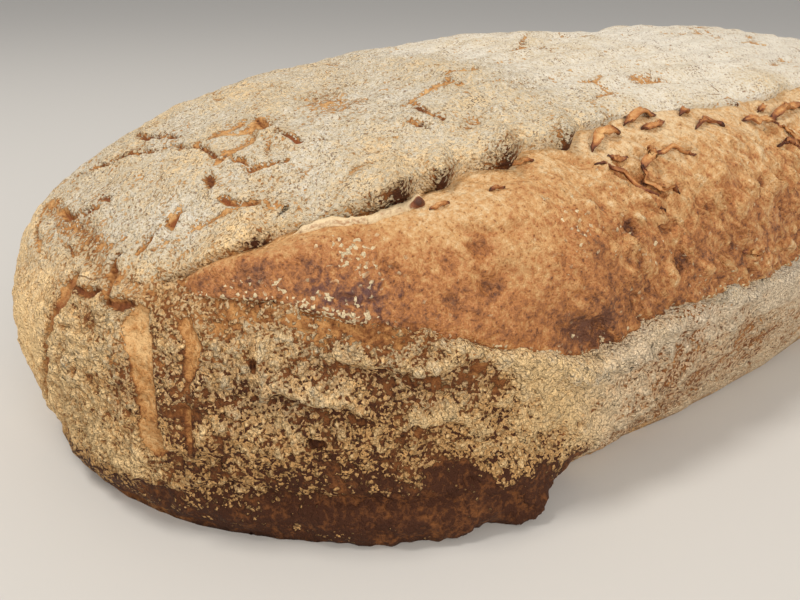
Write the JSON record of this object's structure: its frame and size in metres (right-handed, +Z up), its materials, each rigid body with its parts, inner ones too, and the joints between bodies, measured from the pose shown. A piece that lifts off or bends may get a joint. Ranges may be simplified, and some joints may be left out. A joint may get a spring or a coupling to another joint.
{
  "type": "wheat sourdough loaf",
  "caption": "Long, low wheat sourdough loaf with a floured crust, burst open along one side under a torn ear, resting on its flat baked base.",
  "frame": {"origin": "middle of the loaf's bounding box, on the flat base that it rests on", "axes": "+X along the loaf, +Z up; the burst score and its ear face -Y"},
  "size_m": [0.34, 0.152, 0.08],
  "materials": {
    "crust": "matte baked crust, golden brown to dark brown, dusted with cream flour"
  },
  "bodies": {
    "root": {"loaf": "crust"}
  },
  "joints": []
}
